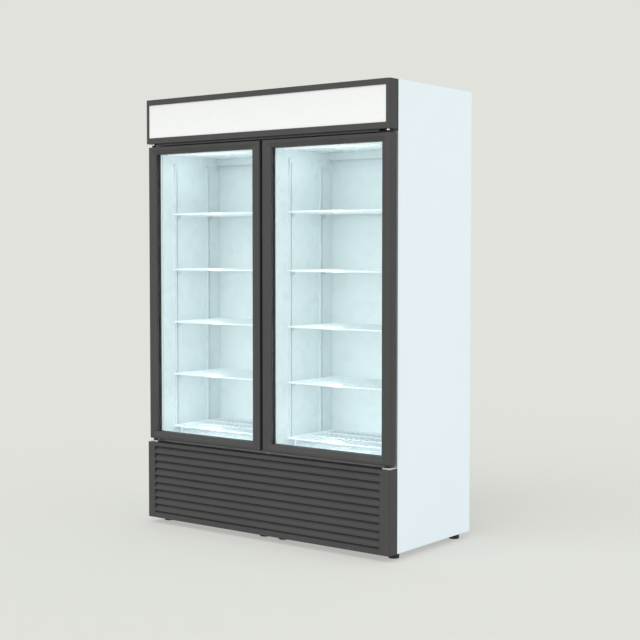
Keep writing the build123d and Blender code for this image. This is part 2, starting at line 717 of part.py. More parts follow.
def return_bend(x, outward, near, far, tube_r):
    """Half-round return bend between two tube ends that stop at the same X."""
    reach = ((far[0] - near[0]) ** 2 + (far[1] - near[1]) ** 2) ** 0.5 / 2
    middle = (x + outward * reach, (near[0] + far[0]) / 2, (near[1] + far[1]) / 2)
    path = ThreePointArc((x, *near), middle, (x, *far))
    return sweep(Plane(origin=path @ 0, z_dir=path % 0) * Circle(tube_r), path=path)


def condenser_coil():
    """Condenser behind the louvres."""
    places = []
    for row, y in enumerate((COIL_FRONT + COIL_ROW_IN, COIL_REAR - COIL_ROW_IN)):
        heights = [TUBE_LOW_Z + 40 * i for i in range(6)]
        places += [(y, z) for z in (heights if row == 0 else heights[::-1])]
    return finned_coil(
        FAN_X - COIL_HALF, FAN_X + COIL_HALF, COIL_FRONT, COIL_REAR, PAN_TOP, 320, 36, places, 5.0
    )


def condenser_shroud():
    """Fan shroud on the condenser with the four-legged motor bracket."""
    plate = block(FAN_X - COIL_HALF, FAN_X + COIL_HALF, COIL_REAR, COIL_REAR + 2, PAN_TOP, 320)
    ring = rod_y(FAN_X, COIL_REAR, COIL_REAR + 34, FAN_Z, 120)
    shroud = plate + ring - rod_y(FAN_X, COIL_REAR - 1, COIL_REAR + 40, FAN_Z, 117)
    seat_y = COIL_REAR + 92
    legs = []
    for dx in (-1, 1):
        for dz in (-1, 1):
            x = FAN_X + dx * 95
            z = FAN_Z + dz * 95
            legs.append(rod_y(x, COIL_REAR, seat_y + 3, z, 4))
    seat = rod_y(FAN_X, seat_y, seat_y + 3, FAN_Z, 48)
    for turn in (45, 135):
        bar = Pos(FAN_X, seat_y + 1.5, FAN_Z) * Rot(0, turn, 0) * Box(2 * 95 * 2 ** 0.5 + 10, 3, 12)
        seat += bar
    return shroud.fuse(seat, *legs)


def fan_blades(blade_count, hub_r, tip_r, depth, pitch_angle):
    """Axial fan wheel about Z, standing on Z = 0."""
    hub = Pos(0, 0, depth / 2) * Cylinder(hub_r, depth)
    wheel = hub
    length = tip_r - hub_r + 4
    for i in range(blade_count):
        blade = Box(length, depth * 1.7, 1.8)
        blade = Pos(hub_r - 4 + length / 2, 0, depth / 2) * Rot(pitch_angle, 0, 0) * blade
        wheel += Rot(0, 0, 360 / blade_count * i) * blade
    envelope = Pos(0, 0, depth / 2) * Cylinder(tip_r, depth)
    return wheel & envelope


def condenser_fan_wheel():
    """Condenser fan wheel and the shaft that runs in its motor."""
    wheel = fan_blades(5, 26, 110, 24, 32)
    wheel += Pos(0, 0, -19) * Cylinder(4, 40)
    placed = Plane(origin=(FAN_X, COIL_REAR + 34, FAN_Z), x_dir=(1, 0, 0), z_dir=(0, -1, 0))
    return placed * wheel


def condenser_fan_motor():
    """Shaded-pole motor of the condenser fan."""
    front = COIL_REAR + 42
    body = rod_y(FAN_X, front, COIL_REAR + 92, FAN_Z, 40)
    body = fillet(body.edges().group_by(Axis.Y)[0], 6)
    return body - rod_y(FAN_X, front - 1, front + 45, FAN_Z, 4 + RUNNING)


def around_compressor(dx, dy, z0, z1):
    """Box around the compressor's axis: dx and dy are (low, high) offsets from it."""
    x = COMPRESSOR_X
    y = COMPRESSOR_Y
    return block(x + dx[0], x + dx[1], y + dy[0], y + dy[1], z0, z1)


def compressor():
    """Hermetic compressor: hollow domed can on a foot plate with rubber mounts."""
    z0 = PAN_TOP
    can = rod_z(COMPRESSOR_X, COMPRESSOR_Y, z0 + 18, z0 + 198, CAN_R)
    can = fillet(can.edges().group_by(Axis.Z)[-1], 50)
    can = fillet(can.edges().group_by(Axis.Z)[0], 12)
    can -= rod_z(COMPRESSOR_X, COMPRESSOR_Y, z0 + 27, z0 + 170, CAN_R - 12)
    foot_plate = around_compressor((-115, 115), (-75, 75), z0 + 14, z0 + 19)
    terminal_cover = around_compressor((78, 112), (-38, 38), z0 + 70, z0 + 140)
    body = can + foot_plate + terminal_cover
    mounts = [
        rod_z(COMPRESSOR_X + dx * 98, COMPRESSOR_Y + dy * 58, z0, z0 + 15, 13)
        for dx in (-1, 1)
        for dy in (-1, 1)
    ]
    return body.fuse(*mounts)


def drip_tray():
    """Condensate tray that the warm machine compartment dries out."""
    tray = block(-240, 160, 150, 300, PAN_TOP, PAN_TOP + 38)
    return tray - block(-237, 157, 153, 297, PAN_TOP + 3, PAN_TOP + 40)


def floor_passage():
    """Passage for the pipes through deck, foam and liner floor."""
    return rod_z(COMPRESSOR_X, SUCTION_Y, MACHINE_DECK_TOP - 5, FLOOR_TOP + 5, PASSAGE_R)


def bent_pipe(points, bend_r, radius):
    """Copper pipe of straight runs and tangent bends along the given points."""
    path = FilletPolyline(*points, radius=bend_r)
    start = Plane(origin=path @ 0, z_dir=path % 0)
    return sweep(start * Circle(radius), path=path)


def refrigerant_pipes():
    """Suction, discharge and liquid lines, each from tube end to tube end."""
    coil_end = FAN_X + COIL_HALF + TUBE_END
    evaporator_end = EVAPORATOR_HALF + TUBE_END
    suction = bent_pipe(
        [
            (COMPRESSOR_X, COMPRESSOR_Y + CAN_R, 150),
            (COMPRESSOR_X, SUCTION_Y, 150),
            (COMPRESSOR_X, SUCTION_Y, 456),
            (evaporator_end + 38, SUCTION_Y, 456),
            (evaporator_end + 38, SUCTION_Y, EVAPORATOR_LOW_Z),
            (evaporator_end, SUCTION_Y, EVAPORATOR_LOW_Z),
        ],
        26,
        SUCTION_R,
    )
    discharge = bent_pipe(
        [
            (COMPRESSOR_X - CAN_R, COMPRESSOR_Y, TUBE_LOW_Z),
            (COMPRESSOR_X - 200, COMPRESSOR_Y, TUBE_LOW_Z),
            (COMPRESSOR_X - 200, COIL_FRONT + COIL_ROW_IN, TUBE_LOW_Z),
            (coil_end, COIL_FRONT + COIL_ROW_IN, TUBE_LOW_Z),
        ],
        30,
        DISCHARGE_R,
    )
    liquid = bent_pipe(
        [
            (coil_end, COIL_REAR - COIL_ROW_IN, TUBE_LOW_Z),
            (COMPRESSOR_X - 230, COIL_REAR - COIL_ROW_IN, TUBE_LOW_Z),
            (COMPRESSOR_X - 230, SUCTION_Y, TUBE_LOW_Z),
            (LIQUID_X, SUCTION_Y, TUBE_LOW_Z),
            (LIQUID_X, SUCTION_Y, 440),
            (evaporator_end + 22, SUCTION_Y, 440),
            (evaporator_end + 22, EVAPORATOR_Y0 + EVAPORATOR_ROW_IN, 440),
            (evaporator_end + 22, EVAPORATOR_Y0 + EVAPORATOR_ROW_IN, EVAPORATOR_LOW_Z),
            (evaporator_end, EVAPORATOR_Y0 + EVAPORATOR_ROW_IN, EVAPORATOR_LOW_Z),
        ],
        16,
        LIQUID_R,
    )
    return group([suction, discharge, liquid])


def control_box():
    """Electrical box under the machine deck, with its switch and cord gland at the rear."""
    z1 = MACHINE_DECK_TOP - SHEET
    case = block(CONTROL_X0, CONTROL_X1, CONTROL_Y0, CONTROL_Y1, CONTROL_Z0, z1)
    case = fillet(case.edges().filter_by(Axis.Z), 5)
    x0 = SWITCH_X - 10
    x1 = SWITCH_X + 10
    case -= block(x0, x1, CONTROL_Y1 - 16, CONTROL_Y1 + 1, SWITCH_Z - 15, SWITCH_Z + 15)
    case -= rod_x(x0 - 3, x1 + 3, SWITCH_Y, SWITCH_Z, SWITCH_PIVOT_R + RUNNING)
    return case - rod_y(GLAND_X, CONTROL_Y1 - 8, CONTROL_Y1, GLAND_Z, 8)


def light_switch():
    """Rocker of the light switch on its two pivot stubs, tipped to off."""
    rocker = Box(19, 9, 25)
    rocker = fillet(rocker.edges().filter_by(Axis.X), 2.5)
    rocker = Pos(SWITCH_X, SWITCH_Y, SWITCH_Z) * Rot(-8, 0, 0) * rocker
    return rocker + rod_x(SWITCH_X - 12.5, SWITCH_X + 12.5, SWITCH_Y, SWITCH_Z, SWITCH_PIVOT_R)


def cord_gland():
    """Cord gland of the mains lead: threaded tail, hexagon and dome nut with a blind bore."""
    tail = rod_y(GLAND_X, CONTROL_Y1 - 8, CONTROL_Y1, GLAND_Z, 8)
    face = Plane(origin=(GLAND_X, CONTROL_Y1, GLAND_Z), x_dir=(1, 0, 0), z_dir=(0, 1, 0))
    hexagon = face * extrude(RegularPolygon(13, 6), 7)
    dome = rod_y(GLAND_X, CONTROL_Y1 + 7, REAR - 1.0, GLAND_Z, 9.5)
    return tail + hexagon + dome - rod_y(GLAND_X, CONTROL_Y1 - 6, REAR, GLAND_Z, 4.2)


# =============================================================== evaporator
def evaporator_coil():
    """Evaporator in the duct behind the rear panel."""
    y0 = EVAPORATOR_Y0
    y1 = EVAPORATOR_Y1
    places = []
    for row, y in enumerate((y0 + EVAPORATOR_ROW_IN, y1 - EVAPORATOR_ROW_IN)):
        heights = [EVAPORATOR_LOW_Z + 45 * i for i in range(4)]
        places += [(y, z) for z in (heights if row == 0 else heights[::-1])]
    return finned_coil(-EVAPORATOR_HALF, EVAPORATOR_HALF, y0, y1, 490, 690, 48, places, 5.0)


def rear_duct_panel():
    """White back wall of the bays, with the fan deck and a deflector over its top slot."""
    gauge = 1.2
    top = CEILING - 26
    panel = block(-LINER_HALF, LINER_HALF, DUCT_FACE, DUCT_FACE + gauge, FLOOR_TOP + 34, top)
    deck = block(-LINER_HALF, LINER_HALF, DUCT_FACE, LINER_REAR, FAN_DECK_Z, FAN_DECK_Z + gauge)
    for side in (-1, 1):
        deck -= rod_z(side * EVAPORATOR_FAN_X, EVAPORATOR_FAN_Y, FAN_DECK_Z - 1, FAN_DECK_Z + 3, 51)
    end = block(-LINER_HALF, -LINER_HALF + gauge, DUCT_FACE, LINER_REAR, FLOOR_TOP + 34, FAN_DECK_Z + gauge)
    pieces = [deck, end, mirrored(end)]
    x0 = PARTITION_HALF + 1
    x1 = LINER_HALF - 1
    y0 = DUCT_FACE - DEFLECTOR_REACH
    lip = block(x0, x1, y0, y0 + gauge, top - 7, CEILING)
    lip += block(x0, x1, y0, DUCT_FACE + gauge, CEILING - gauge, CEILING)
    for x in (x0, (x0 + x1) / 2, x1 - gauge):
        lip += block(x, x + gauge, y0, DUCT_FACE + gauge, top - 7, CEILING)
    return panel.fuse(lip, mirrored(lip), *pieces)


def evaporator_fan_motors():
    """Two fan motors, each hung on a strap under the fan deck."""
    motors = []
    for side in (-1, 1):
        x = side * EVAPORATOR_FAN_X
        y = EVAPORATOR_FAN_Y
        body = rod_z(x, y, FAN_DECK_Z - 44, FAN_DECK_Z - 2, 22)
        body += block(x - 62, x + 62, y - 8, y + 8, FAN_DECK_Z - 3, FAN_DECK_Z)
        motors.append(body - rod_z(x, y, FAN_DECK_Z - 36, FAN_DECK_Z + 1, 3 + RUNNING))
    return group(motors)


def evaporator_fan_wheel(side):
    """One evaporator fan wheel with its shaft."""
    wheel = fan_blades(5, 14, 47, 18, 34)
    wheel += Pos(0, 0, -16) * Cylinder(3, 34)
    return Pos(side * EVAPORATOR_FAN_X, EVAPORATOR_FAN_Y, FAN_DECK_Z + 4) * wheel


# ==================================================================== build
def build_cabinet():
    """Skins, liner, foam and frames."""
    right = side_panel()
    NODES["side_panel_right"] = right
    NODES["side_panel_left"] = mirrored(right)
    NODES["rear_panel"] = rear_panel()
    NODES["roof_panel"] = roof_panel()
    NODES["insulation_core"] = insulation_core()
    NODES["liner_panels"] = liner_panels()
    NODES["face_frame"] = face_frame()
    NODES["centre_partition"] = centre_partition()
    NODES["upper_deck"] = upper_deck()
    NODES["machine_deck"] = machine_deck()
    NODES["corner_posts"] = corner_posts()
    NODES["base_pan"] = base_pan()
    NODES["levelling_feet"] = levelling_feet()
    NODES["cabinet_screws"] = cabinet_screws()


def build_shelving():
    """Shelves on clips and standards, and the floor racks."""
    NODES["shelf_standards"] = shelf_standards()
    NODES["shelf_clips"] = shelf_clips()
    deck = wire_deck(0)
    for name, x in (("left", -BAY_CENTRE), ("right", BAY_CENTRE)):
        for level, z in enumerate(SHELF_LEVELS, start=1):
            NODES[f"shelf_{name}_{level}"] = Pos(x, 0, z) * deck
    rack = base_rack()
    NODES["base_racks"] = group([Pos(x, 0, 0) * rack for x in (-BAY_CENTRE, BAY_CENTRE)])


def build_front():
    """Header, lights, grille and fixed hinge parts."""
    NODES["header_frame"] = header_frame()
    NODES["sign_panel"] = sign_panel()
    NODES["light_box_back"] = light_box_back()
    NODES["sign_led_bars"] = sign_led_bars()
    NODES["led_driver"] = led_driver()
    NODES["interior_led_strips"] = interior_led_strips()
    NODES["louvre_grille"] = louvre_grille()
    NODES["top_hinge_brackets"] = top_hinge_brackets()
    NODES["bottom_hinge_brackets"] = bottom_hinge_brackets()
    NODES["hinge_pins"] = hinge_pins()


def build_doors():
    """The right-hand door, and its mirror image on the left."""
    pieces = {
        "door_frame": door_frame(),
        "glass_panes": glass_panes(),
        "glass_spacer": glass_spacer(),
        "door_gasket": door_gasket(),
        "hinge_bushes": hinge_bushes(),
    }
    for name, shape in pieces.items():
        NODES[name + "_right"] = shape
        NODES[name + "_left"] = mirrored(shape)


def build_refrigeration():
    """Condensing unit, evaporator and electrics."""
    NODES["condenser_coil"] = condenser_coil()
    NODES["condenser_shroud"] = condenser_shroud()
    NODES["condenser_fan_motor"] = condenser_fan_motor()
    NODES["condenser_fan_wheel"] = condenser_fan_wheel()
    NODES["compressor"] = compressor()
    NODES["drip_tray"] = drip_tray()
    NODES["refrigerant_pipes"] = refrigerant_pipes()
    NODES["control_box"] = control_box()
    NODES["light_switch"] = light_switch()
    NODES["cord_gland"] = cord_gland()
    NODES["evaporator_coil"] = evaporator_coil()
    NODES["rear_duct_panel"] = rear_duct_panel()
    NODES["evaporator_fan_motors"] = evaporator_fan_motors()
    NODES["evaporator_fan_wheel_left"] = evaporator_fan_wheel(-1)
    NODES["evaporator_fan_wheel_right"] = evaporator_fan_wheel(1)


def main():
    """Build every node and write its STEP file."""
    build_cabinet()
    build_shelving()
    build_front()
    build_doors()
    build_refrigeration()
    os.makedirs("parts", exist_ok=True)
    for name, shape in NODES.items():
        export_step(shape, f"parts/{name}.step")


main()
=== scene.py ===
"""Looks, light and camera for the two-door glass merchandiser. Metres, in the CAD's frame."""

import json
import math

import bmesh
import bpy
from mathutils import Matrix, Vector


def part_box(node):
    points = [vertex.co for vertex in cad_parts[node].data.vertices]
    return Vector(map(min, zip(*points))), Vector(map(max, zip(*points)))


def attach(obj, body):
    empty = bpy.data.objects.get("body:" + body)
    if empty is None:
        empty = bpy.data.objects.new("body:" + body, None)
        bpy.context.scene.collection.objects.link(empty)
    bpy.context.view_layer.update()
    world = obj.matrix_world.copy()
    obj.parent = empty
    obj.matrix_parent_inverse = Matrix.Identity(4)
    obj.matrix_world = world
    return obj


MM = 0.001

# --------------------------------------------------------------------- camera
CAMERA_AT = (3.7986, -4.8471, 1.3049)
CAMERA_TILT = 87.343
CAMERA_TURN = 37.597
LENS = 74.72
SHIFT = (0.00703, -0.01336)

# ---------------------------------------------------------------------- light
BACKDROP = (0.752, 0.760, 0.716)
KEY_TOWARD = (0.0, 0.87, -0.49)
KEY_STRENGTH = 1.95
SIDE_TOWARD = (-0.92, -0.12, -0.37)
SIDE_STRENGTH = 0.86
SUN_SPREAD = 80.0
FLOOR_GLOW = 0.5
FLOOR_HALF = 60.0
LED_COLOUR = (0.965, 1.0, 1.0)
BAY_POWER = 0.42
WALL_POWER = 0.76
CEILING_POWER = 0.45
FLOOR_POWER = 0.22
LAMP_THICKNESS = 50 * MM
LAMP_MARGIN = 20 * MM
LAMP_NARROWING = 280 * MM
WALL_LAMP_IN = 30 * MM
CEILING_LAMP_IN = 60 * MM
CEILING_LAMP_DROP = 180 * MM
FLOOR_LAMP_RISE = 200 * MM

# ------------------------------------------------------------------ small parts
DIODE_PITCH = 16.7 * MM
GRILLE_BLADES = 4
GRILLE_BLADE = ((0, 0), (0.9, 0), (0.9, 1.8), (11, 7.2), (11, 8.2), (0, 2.6))
GRILLE_GAP = 0.4 * MM
GRILLE_INNER_GAP = 2 * MM
GRILLE_OUTER_GAP = 4 * MM
WEB_THICKNESS = 1 * MM
WEB_Y = (2 * MM, 12 * MM)


class Shader:
    """A material with a Principled surface and short ways to add nodes to it."""

    def __init__(self, name, colour, roughness, metallic=0.0, ior=1.45):
        self.material = bpy.data.materials.new(name)
        self.material.use_nodes = True
        self.tree = self.material.node_tree
        self.surface = self.tree.nodes["Principled BSDF"]
        self.output = self.tree.nodes["Material Output"]
        self.surface.inputs["Base Color"].default_value = (*colour, 1)
        self.surface.inputs["Roughness"].default_value = roughness
        self.surface.inputs["Metallic"].default_value = metallic
        self.surface.inputs["IOR"].default_value = ior
        self.place = self.add("TexCoord").outputs["Object"]

    def add(self, kind, **settings):
        """A new node; settings name its inputs (spaces as underscores) or its properties."""
        node = self.tree.nodes.new("ShaderNode" + kind)
        for key, value in settings.items():
            socket = node.inputs.get(key.replace("_", " "))
            if socket is None:
                setattr(node, key, value)
            elif isinstance(value, bpy.types.NodeSocket):
                self.tree.links.new(value, socket)
            else:
                socket.default_value = value
        return node

    def link(self, output, socket):
        """Feeds an output into one of the surface's inputs."""
        self.tree.links.new(output, self.surface.inputs[socket])

    def stretched(self, scale):
        """The place on the object, scaled along each axis."""
        return self.add("Mapping", Vector=self.place, Scale=scale).outputs["Vector"]

    def noise(self, scale, detail=3.0, place=None, roughness=0.55):
        """Fractal noise from 0 to 1."""
        where = place or self.place
        made = self.add("TexNoise", Scale=scale, Detail=detail, Roughness=roughness, Vector=where)
        return made.outputs["Fac"]

    def spread(self, value, low, high, start=0.3, end=0.7):
        """value taken from start..end to low..high."""
        made = self.add("MapRange", Value=value, From_Min=start, From_Max=end, To_Min=low, To_Max=high)
        return made.outputs["Result"]

    def mixed(self, amount, first, second):
        """A colour between two others."""
        made = self.add("Mix", data_type="RGBA")
        for index, value in ((0, amount), (6, first), (7, second)):
            socket = made.inputs[index]
            if isinstance(value, bpy.types.NodeSocket):
                self.tree.links.new(value, socket)
            else:
                socket.default_value = value if index == 0 else (*value, 1)
        return made.outputs[2]

    def joined(self, first, second, operation="ADD"):
        """Two values joined by a maths operation."""
        made = self.add("Math", operation=operation)
        for index, value in enumerate((first, second)):
            if isinstance(value, bpy.types.NodeSocket):
                self.tree.links.new(value, made.inputs[index])
            else:
                made.inputs[index].default_value = value
        return made.outputs[0]

    def bump(self, height, depth, strength=1.0, normal=None):
        """Relief of the given depth in metres."""
        made = self.add("Bump", Height=height, Distance=depth, Strength=strength)
        if normal is not None:
            self.tree.links.new(normal, made.inputs["Normal"])
        self.link(made.outputs["Normal"], "Normal")

    def soft_edges(self, radius):
        """Shading normal that rounds sharp edges off by radius."""
        return self.add("Bevel", samples=4, Radius=radius).outputs["Normal"]


# ------------------------------------------------------------------ materials
def moulded(name, colour, worn, grain=0.00005, roughness=(0.42, 0.56), edge=0.0012):
    """Satin moulded plastic with a fine spark-eroded grain and faint handling marks."""
    s = Shader(name, colour, 0.5)
    s.surface.inputs["Specular IOR Level"].default_value = 0.3
    marks = s.noise(7.0, 5.0, s.stretched((1.0, 1.0, 0.35)))
    s.link(s.mixed(s.spread(marks, 0.0, 0.6), colour, worn), "Base Color")
    s.link(s.spread(s.noise(23.0, 4.0), *roughness), "Roughness")
    s.bump(s.noise(1400.0, 2.0), grain, 0.5, s.soft_edges(edge))
    return s.material


def powder_coat(name, colour, dusty, roughness=(0.30, 0.42), edge=0.0009):
    """Powder-coated sheet steel: orange-peel relief and slight unevenness."""
    s = Shader(name, colour, 0.36)
    cloud = s.noise(2.3, 4.0)
    s.link(s.mixed(s.spread(cloud, 0.0, 0.5), colour, dusty), "Base Color")
    s.link(s.spread(s.noise(11.0, 5.0), *roughness), "Roughness")
    peel = s.noise(420.0, 1.5)
    sheet = s.noise(1.6, 1.0)
    s.bump(s.joined(peel, s.joined(sheet, 12.0, "MULTIPLY")), 0.00004, 0.35, s.soft_edges(edge))
    return s.material


def zinc_sheet(name, colour, spangle_scale=95.0):
    """Galvanised sheet with its spangle."""
    s = Shader(name, colour, 0.45, metallic=0.9)
    cells = s.add("TexVoronoi", Scale=spangle_scale, Vector=s.place)
    tone = s.add("SeparateColor", Color=cells.outputs["Color"]).outputs["Red"]
    darker = tuple(c * 0.91 for c in colour)
    s.link(s.mixed(s.spread(tone, 0.0, 1.0, 0.0, 1.0), colour, darker), "Base Color")
    s.link(s.spread(tone, 0.42, 0.52, 0.0, 1.0), "Roughness")
    s.bump(s.noise(260.0, 2.0), 0.00003, 0.3)
    return s.material


def plated(name, colour, roughness=(0.24, 0.38)):
    """Zinc-plated hardware with a faint brushed run."""
    s = Shader(name, colour, 0.3, metallic=1.0)
    run = s.noise(180.0, 4.0, s.stretched((1.0, 1.0, 0.12)))
    s.link(s.mixed(s.spread(run, 0.0, 0.5), colour, tuple(c * 0.86 for c in colour)), "Base Color")
    s.link(s.spread(s.noise(90.0, 3.0), *roughness), "Roughness")
    s.bump(run, 0.00003, 0.3, s.soft_edges(0.0005))
    return s.material


def coated_wire():
    """Thick white plastic coating on steel wire."""
    s = Shader("white_wire", (0.86, 0.92, 0.94), 0.35)
    tone = s.spread(s.noise(60.0, 3.0), 0.0, 0.5)
    s.link(s.mixed(tone, (0.88, 0.94, 0.96), (0.80, 0.86, 0.88)), "Base Color")
    s.link(s.spread(s.noise(140.0, 2.0), 0.28, 0.44), "Roughness")
    s.bump(s.noise(700.0, 2.0), 0.00004, 0.3)
    return s.material


def gasket_rubber():
    """White vinyl gasket with fine ribs across it."""
    s = Shader("white_gasket", (0.80, 0.84, 0.86), 0.6)
    tone = s.spread(s.noise(40.0, 4.0), 0.0, 0.6)
    s.link(s.mixed(tone, (0.82, 0.86, 0.88), (0.70, 0.73, 0.74)), "Base Color")
    ribs = s.add("TexWave", Scale=90.0, Distortion=0.0, Vector=s.place, bands_direction="Y")
    s.link(s.spread(s.noise(200.0, 2.0), 0.5, 0.68), "Roughness")
    s.bump(ribs.outputs["Fac"], 0.0002, 0.4)
    return s.material


def pane_glass():
    """Clear low-iron pane: see-through, with a reflection on its outer face only."""
    s = Shader("glass", (0.93, 0.98, 0.98), 0.03)
    clear = s.add("BsdfTransparent", Color=(0.985, 0.995, 0.995, 1))
    film = s.spread(s.noise(3.0, 5.0), 0.015, 0.05)
    shine = s.add("BsdfGlossy", Color=(0.95, 0.98, 1.0, 1), Roughness=film)
    facing = s.add("Fresnel", IOR=1.33).outputs["Fac"]
    behind = s.add("NewGeometry").outputs["Backfacing"]
    outer = s.joined(1.0, behind, "SUBTRACT")
    amount = s.joined(s.joined(facing, outer, "MULTIPLY"), 0.55, "MULTIPLY")
    pane = s.add("MixShader")
    for index, source in ((0, amount), (1, clear.outputs[0]), (2, shine.outputs[0])):
        s.tree.links.new(source, pane.inputs[index])
    s.tree.links.new(pane.outputs[0], s.output.inputs["Surface"])
    s.tree.nodes.remove(s.surface)
    return s.material


def lit_sign():
    """Opal acrylic lit from behind, a little brighter along its lower edge: its glow is painted dimmer
    toward the top as painted shade of the recess above it.
    """
    s = Shader("opal", (0.50, 0.51, 0.515), 0.3)
    low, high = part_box("sign_panel")
    height = s.add("SeparateXYZ", Vector=s.place).outputs["Z"]
    # painted shade: emission strength falls from the lower edge to the top, standing in for the
    # recess's shadow
    painted_top_shade = s.spread(height, 0.272, 0.222, low.z, high.z)
    cloud = s.spread(s.noise(4.0, 2.0), 0.985, 1.015)
    s.link(s.mixed(0.5, (1.0, 1.0, 1.0), (0.985, 1.0, 1.0)), "Emission Color")
    s.link(s.joined(painted_top_shade, cloud, "MULTIPLY"), "Emission Strength")
    s.link(s.spread(s.noise(30.0, 3.0), 0.22, 0.34), "Roughness")
    s.bump(s.noise(900.0, 1.0), 0.00002, 0.2)
    return s.material


def led_diffuser():
    """Frosted light strip with its diodes showing faintly."""
    s = Shader("led", (0.85, 0.88, 0.88), 0.4)
    along = s.add("SeparateXYZ", Vector=s.place).outputs["X"]
    wave = s.joined(s.joined(along, 2 * math.pi / DIODE_PITCH, "MULTIPLY"), 0.0, "SINE")
    s.link(s.spread(wave, 0.2, 0.3, -1.0, 1.0), "Emission Strength")
    s.link(s.mixed(0.5, LED_COLOUR, (1.0, 1.0, 1.0)), "Emission Color")
    s.link(s.spread(s.noise(50.0, 2.0), 0.3, 0.5), "Roughness")
    return s.material


def coil_fins():
    """Thin aluminium fins, lightly dusty."""
    s = Shader("fins", (0.72, 0.73, 0.74), 0.35, metallic=0.85)
    dust = s.spread(s.noise(14.0, 6.0), 0.0, 0.8)
    s.link(s.mixed(dust, (0.74, 0.75, 0.76), (0.50, 0.49, 0.46)), "Base Color")
    s.link(s.spread(s.noise(60.0, 4.0), 0.28, 0.6), "Roughness")
    s.bump(s.noise(500.0, 2.0), 0.00005, 0.4)
    return s.material


def copper_tube():
    """Copper tube with darker, tarnished patches."""
    s = Shader("copper", (0.72, 0.38, 0.24), 0.3, metallic=1.0)
    tarnish = s.spread(s.noise(28.0, 5.0), 0.0, 1.0, 0.4, 0.75)
    s.link(s.mixed(tarnish, (0.78, 0.42, 0.27), (0.36, 0.20, 0.13)), "Base Color")
    s.link(s.spread(s.noise(70.0, 3.0), 0.2, 0.5), "Roughness")
    return s.material


def enamelled(name, colour):
    """Black stove enamel over cast and pressed steel."""
    s = Shader(name, colour, 0.35)
    dust = s.spread(s.noise(9.0, 6.0), 0.0, 0.7, 0.45, 0.8)
    s.link(s.mixed(dust, colour, (0.12, 0.115, 0.105)), "Base Color")
    s.link(s.spread(s.noise(40.0, 4.0), 0.25, 0.6), "Roughness")
    s.bump(s.noise(300.0, 3.0), 0.00008, 0.4)
    return s.material


def foam():
    """Cream polyurethane foam."""
    s = Shader("foam", (0.80, 0.70, 0.45), 0.95)
    cells = s.add("TexVoronoi", Scale=600.0, Vector=s.place)
    tone = s.spread(s.noise(12.0, 4.0), 0.0, 0.7)
    s.link(s.mixed(tone, (0.84, 0.75, 0.52), (0.68, 0.55, 0.32)), "Base Color")
    s.bump(cells.outputs["Distance"], 0.0006, 0.6)
    return s.material


MATERIALS = {
    "graphite": lambda: moulded("graphite", (0.045, 0.045, 0.046), (0.054, 0.054, 0.055)),
    "grey_trim": lambda: moulded(
        "grey_trim", (0.30, 0.303, 0.308), (0.26, 0.262, 0.265), roughness=(0.5, 0.68)
    ),
    "black_plastic": lambda: moulded("black_plastic", (0.020, 0.020, 0.021), (0.035, 0.034, 0.033)),
    "white_coat": lambda: powder_coat("white_coat", (0.742, 0.830, 0.895), (0.717, 0.805, 0.870)),
    "white_liner": lambda: powder_coat(
        "white_liner", (0.745, 0.811, 0.832), (0.725, 0.790, 0.812), (0.22, 0.36)
    ),
    "white_wire": coated_wire,
    "white_gasket": gasket_rubber,
    "galvanised": lambda: zinc_sheet("galvanised", (0.62, 0.64, 0.65)),
    "zinc": lambda: plated("zinc", (0.78, 0.79, 0.80)),
    "bright_steel": lambda: plated("bright_steel", (0.70, 0.71, 0.72), (0.14, 0.26)),
    "black_steel": lambda: enamelled("black_steel", (0.018, 0.018, 0.020)),
    "foam": foam,
    "opal": lit_sign,
    "led": led_diffuser,
    "glass": pane_glass,
    "fins": coil_fins,
    "copper": copper_tube,
}


def dress_nodes(frame):
    """Every CAD node takes the procedural material of its slot."""
    made = {slot: build() for slot, build in MATERIALS.items()}
    for part in frame["record"]["subparts"]:
        mesh = frame["nodes"][part["node"]].data
        mesh.materials.clear()
        mesh.materials.append(made[part["material_slot"]])
    return made


# ------------------------------------------------------------- air return grille
def add_bar(shell, outline, x0, x1):
    """Bar along X with the given (y, z) outline, added to a bmesh."""
    near = [shell.verts.new((x0, y, z)) for y, z in outline]
    far = [shell.verts.new((x1, y, z)) for y, z in outline]
    count = len(outline)
    for i in range(count):
        j = (i + 1) % count
        shell.faces.new((near[i], near[j], far[j], far[i]))
    shell.faces.new(near[::-1])
    shell.faces.new(far)


def air_return_grille(finish):
    """White louvred strips in the air return under the duct panel, one in each bay."""
    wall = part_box("centre_partition")
    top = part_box("rear_duct_panel")[0].z - GRILLE_GAP
    low = wall[0].z + GRILLE_GAP
    face = wall[1].y + GRILLE_GAP
    ends = (wall[1].x + GRILLE_INNER_GAP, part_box("liner_panels")[1].x - GRILLE_OUTER_GAP)
    pitch = (top - low) / GRILLE_BLADES
    web_y0, web_y1 = (face + y for y in WEB_Y)
    web = [(web_y0, low), (web_y1, low), (web_y1, top), (web_y0, top)]
    shell = bmesh.new()
    for side in (-1, 1):
        x0, x1 = sorted(side * x for x in ends)
        for i in range(GRILLE_BLADES):
            z = low + pitch * i
            blade = [(face + y * MM, z + h * MM) for y, h in GRILLE_BLADE]
            add_bar(shell, blade, x0, x1)
        for x in (x0, (x0 + x1) / 2, x1 - WEB_THICKNESS):
            add_bar(shell, web, x, x + WEB_THICKNESS)
    bmesh.ops.recalc_face_normals(shell, faces=shell.faces)
    mesh = bpy.data.meshes.new("air_return_grille")
    shell.to_mesh(mesh)
    shell.free()
    mesh.materials.append(finish)
    grille = bpy.data.objects.new("air_return_grille", mesh)
    bpy.context.collection.objects.link(grille)
    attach(grille, "cabinet")


